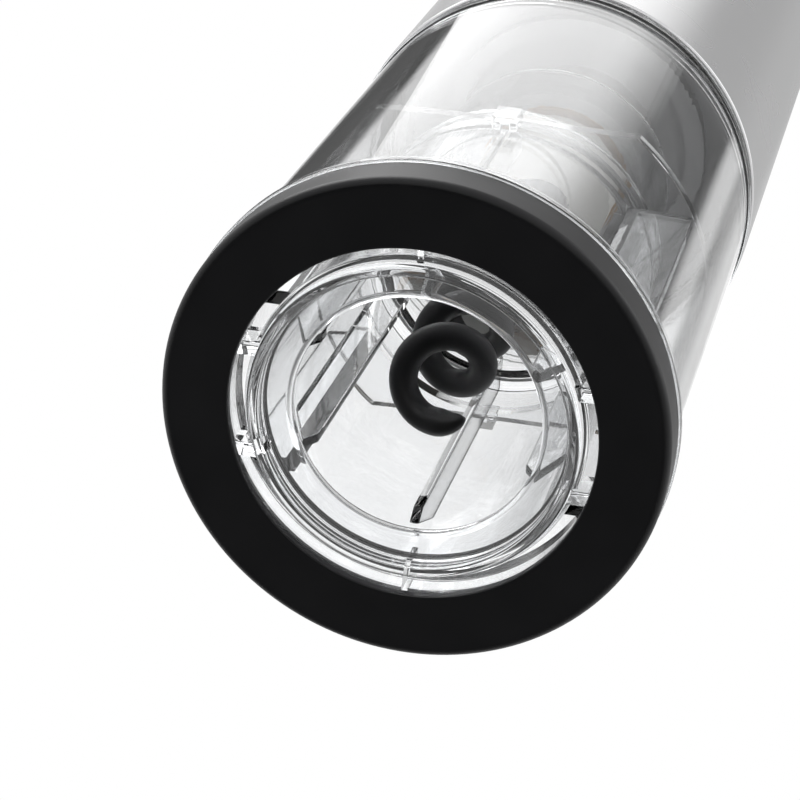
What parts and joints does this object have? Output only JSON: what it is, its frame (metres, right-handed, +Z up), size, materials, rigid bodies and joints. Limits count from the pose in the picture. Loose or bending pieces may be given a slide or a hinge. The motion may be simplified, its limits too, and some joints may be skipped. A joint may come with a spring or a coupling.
{
  "type": "electric wine opener",
  "caption": "Cordless electric wine opener: clear chamber with black ring, cork sleeve and coated worm under a brushed steel body with gearbox, motor, switches and cells.",
  "frame": {"origin": "centre of the black ring's flat lower face, on the worm's axis", "axes": "+Z up the opener towards the cap, -Y towards the buttons, +X to the right seen from the button side"},
  "size_m": [0.0504, 0.0504, 0.268],
  "materials": {
    "black_ring": "satin black moulded ring",
    "clear_plastic": "clear polycarbonate, polished",
    "brushed_steel": "fine brushed stainless steel",
    "black_plastic": "satin black",
    "pale_plastic": "pale moulded plastic",
    "natural_nylon": "natural nylon",
    "worm_coating": "black non-stick coating, soft sheen",
    "bronze": "sintered bronze",
    "steel_parts": "plain bright steel",
    "magnet": "ferrite",
    "armature": "laminations and copper windings",
    "board": "green solder mask",
    "switch_black": "black",
    "button_grey": "satin grey",
    "cell_wrap": "plain dark wrap",
    "contact_metal": "plated spring strip"
  },
  "bodies": {
    "root": {"base_ring": "black_ring", "outer_tube": "clear_plastic", "bottle_guide": "clear_plastic", "cork_sleeve": "clear_plastic", "retaining_clips": "clear_plastic", "steel_sleeve": "brushed_steel", "lower_chassis": "pale_plastic", "carrier_bush": "bronze", "gearbox_case": "pale_plastic", "output_bush": "bronze", "motor_plate": "steel_parts", "gearbox_screws": "steel_parts", "motor_screws": "steel_parts", "motor_case": "steel_parts", "motor_magnets": "magnet", "motor_end_cap": "black_plastic", "upper_chassis": "black_plastic", "switch_bezel": "black_plastic", "circuit_board": "board", "tact_switches": "switch_black", "battery_holder": "black_plastic", "cell_springs": "steel_parts", "batteries": "cell_wrap"},
    "motor_rotor": {"motor_armature": "armature", "motor_pinion": "bronze"},
    "stage_1": {"stage_1_carrier": "natural_nylon", "stage_1_pins": "steel_parts"},
    "stage_1_planet_a": {"stage_1_planet_a": "natural_nylon"},
    "stage_1_planet_b": {"stage_1_planet_b": "natural_nylon"},
    "stage_1_planet_c": {"stage_1_planet_c": "natural_nylon"},
    "output": {"output_carrier": "natural_nylon", "stage_2_pins": "steel_parts", "drive_rod": "steel_parts"},
    "stage_2_planet_a": {"stage_2_planet_a": "natural_nylon"},
    "stage_2_planet_b": {"stage_2_planet_b": "natural_nylon"},
    "stage_2_planet_c": {"stage_2_planet_c": "natural_nylon"},
    "worm_carriage": {"worm": "worm_coating", "worm_carrier": "natural_nylon", "worm_pin": "steel_parts"},
    "up_button": {"up_button": "button_grey"},
    "down_button": {"down_button": "button_grey"},
    "cap": {"battery_cap": "black_plastic", "cap_contacts": "contact_metal"}
  },
  "joints": [
    {"name": "motor_spin", "type": "hinge", "parent": "root", "child": "motor_rotor", "pos_m": [0, 0, 0.1539], "axis": [0, 0, -1], "range_deg": [0, 45000]},
    {"name": "stage_1_spin", "type": "hinge", "parent": "root", "child": "stage_1", "pos_m": [0, 0, 0.1414], "axis": [0, 0, -1], "range_deg": [0, 9001]},
    {"name": "drive_spin", "type": "hinge", "parent": "root", "child": "output", "pos_m": [0, 0, 0.1333], "axis": [0, 0, -1], "range_deg": [0, 1801]},
    {"name": "stage_1_planet_a_spin", "type": "hinge", "parent": "stage_1", "child": "stage_1_planet_a", "pos_m": [0.0105, 0, 0.1443], "axis": [0, 0, -1], "range_deg": [-24002, 0]},
    {"name": "stage_1_planet_b_spin", "type": "hinge", "parent": "stage_1", "child": "stage_1_planet_b", "pos_m": [-0.00525, 0.00909, 0.1443], "axis": [0, 0, -1], "range_deg": [-24002, 0]},
    {"name": "stage_1_planet_c_spin", "type": "hinge", "parent": "stage_1", "child": "stage_1_planet_c", "pos_m": [-0.00525, -0.00909, 0.1443], "axis": [0, 0, -1], "range_deg": [-24002, 0]},
    {"name": "stage_2_planet_a_spin", "type": "hinge", "parent": "output", "child": "stage_2_planet_a", "pos_m": [0.0105, 0, 0.1362], "axis": [0, 0, -1], "range_deg": [-4802, 0]},
    {"name": "stage_2_planet_b_spin", "type": "hinge", "parent": "output", "child": "stage_2_planet_b", "pos_m": [-0.00525, 0.00909, 0.1362], "axis": [0, 0, -1], "range_deg": [-4802, 0]},
    {"name": "stage_2_planet_c_spin", "type": "hinge", "parent": "output", "child": "stage_2_planet_c", "pos_m": [-0.00525, -0.00909, 0.1362], "axis": [0, 0, -1], "range_deg": [-4802, 0]},
    {"name": "worm_feed", "type": "slide", "parent": "output", "child": "worm_carriage", "axis": [0, 0, -1], "range_m": [0, 0.048]},
    {"name": "up_press", "type": "slide", "parent": "root", "child": "up_button", "axis": [0, 1, 0], "range_m": [0, 0.0007], "stiffness_N_per_m": 300, "springref_m": -0.001},
    {"name": "down_press", "type": "slide", "parent": "root", "child": "down_button", "axis": [0, 1, 0], "range_m": [0, 0.0007], "stiffness_N_per_m": 300, "springref_m": -0.001},
    {"name": "cap_lift", "type": "slide", "parent": "root", "child": "cap", "axis": [0, 0, 1], "range_m": [0, 0.03]}
  ],
  "couplings": [
    {"joint": "stage_1_spin", "follows": "motor_spin", "ratio": 0.2},
    {"joint": "drive_spin", "follows": "motor_spin", "ratio": 0.04},
    {"joint": "stage_1_planet_a_spin", "follows": "motor_spin", "ratio": -0.53333},
    {"joint": "stage_1_planet_b_spin", "follows": "motor_spin", "ratio": -0.53333},
    {"joint": "stage_1_planet_c_spin", "follows": "motor_spin", "ratio": -0.53333},
    {"joint": "stage_2_planet_a_spin", "follows": "motor_spin", "ratio": -0.10667},
    {"joint": "stage_2_planet_b_spin", "follows": "motor_spin", "ratio": -0.10667},
    {"joint": "stage_2_planet_c_spin", "follows": "motor_spin", "ratio": -0.10667},
    {"joint": "worm_feed", "follows": "motor_spin", "m_per_rad": 0.000061115}
  ]
}
